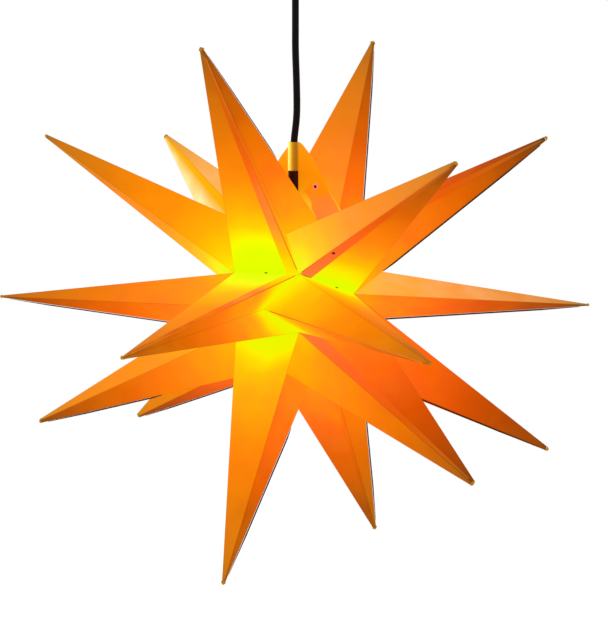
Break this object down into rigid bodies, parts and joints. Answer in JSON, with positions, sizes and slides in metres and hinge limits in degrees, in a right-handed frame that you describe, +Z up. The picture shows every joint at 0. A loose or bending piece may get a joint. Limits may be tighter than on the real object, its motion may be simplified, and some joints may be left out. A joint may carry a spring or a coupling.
{
  "type": "folding star pendant light",
  "caption": "Hollow folded-sheet star with points all round, in two halves that open round a lamp on a cord, under a small ceiling cup.",
  "frame": {"origin": "on the ceiling face of the mounting plate, on the cord's line", "axes": "+Z up out of the ceiling face, +X along the star's long axis between its two poles, -Y towards the viewer; the star hangs down along -Z"},
  "size_m": [0.476, 0.5693, 0.5746],
  "materials": {
    "star_sheet": "satin translucent sheet, lit from inside",
    "welded_ends": "satin, darker where the layers are welded",
    "double_sheet": "satin, two layers",
    "dark_metal": "dark bronzed",
    "snap_plastic": "satin",
    "brass": "polished",
    "cord_sheath": "satin black",
    "black_plastic": "satin",
    "white_plastic": "satin",
    "zinc_steel": "zinc plated",
    "led_chips": "satin phosphor",
    "frosted_diffuser": "frosted, lit from inside"
  },
  "bodies": {
    "ceiling": {"ceiling_plate": "zinc_steel", "cord_grip": "black_plastic", "grip_screws": "zinc_steel", "terminal_block": "white_plastic", "terminal_screws": "zinc_steel", "mains_cord": "cord_sheath", "cord_collar": "black_plastic", "collar_screw": "zinc_steel", "holder_cap": "black_plastic", "holder_skirt": "black_plastic", "holder_core": "white_plastic", "holder_contacts": "brass"},
    "cup": {"ceiling_cup": "black_plastic", "cup_bushing": "black_plastic", "cup_screws": "zinc_steel"},
    "rear_half": {"hanging_sleeve": "brass", "sleeve_rivet": "brass", "hanging_flap": "star_sheet", "snap_studs": "dark_metal", "mid_point_4": "star_sheet", "mid_point_5": "star_sheet", "mid_point_6": "star_sheet", "right_point_4": "star_sheet", "right_point_5": "star_sheet", "right_point_6": "star_sheet", "left_point_4": "star_sheet", "left_point_5": "star_sheet", "left_point_6": "star_sheet", "rear_tips": "welded_ends", "rear_laps": "double_sheet", "rear_rivet": "dark_metal"},
    "front_half": {"mid_point_1": "star_sheet", "mid_point_2": "star_sheet", "mid_point_3": "star_sheet", "right_point_1": "star_sheet", "right_point_2": "star_sheet", "right_point_3": "star_sheet", "left_point_1": "star_sheet", "left_point_2": "star_sheet", "left_point_3": "star_sheet", "front_tips": "welded_ends", "front_laps": "double_sheet", "front_rivet": "dark_metal", "closing_tabs": "double_sheet", "snap_rings": "snap_plastic"},
    "lamp": {"lamp_screw_cap": "zinc_steel", "lamp_insulator": "black_plastic", "lamp_contact": "zinc_steel", "lamp_body": "white_plastic", "lamp_board": "white_plastic", "lamp_leds": "led_chips", "lamp_dome": "frosted_diffuser"}
  },
  "joints": [
    {"name": "cup_slide", "type": "slide", "parent": "ceiling", "child": "cup", "axis": [0, 0, -1], "range_m": [0, 0.05]},
    {"name": "star_turn", "type": "hinge", "parent": "ceiling", "child": "rear_half", "pos_m": [0, 0, -0.19], "axis": [0, 0, 1], "continuous": true},
    {"name": "front_open", "type": "hinge", "parent": "rear_half", "child": "front_half", "pos_m": [0, 0.00485, -0.382], "axis": [1, 0, 0], "range_deg": [0, 45]},
    {"name": "lamp_turn", "type": "hinge", "parent": "ceiling", "child": "lamp", "pos_m": [0, 0, -0.3], "axis": [0, 0, 1], "continuous": true}
  ]
}
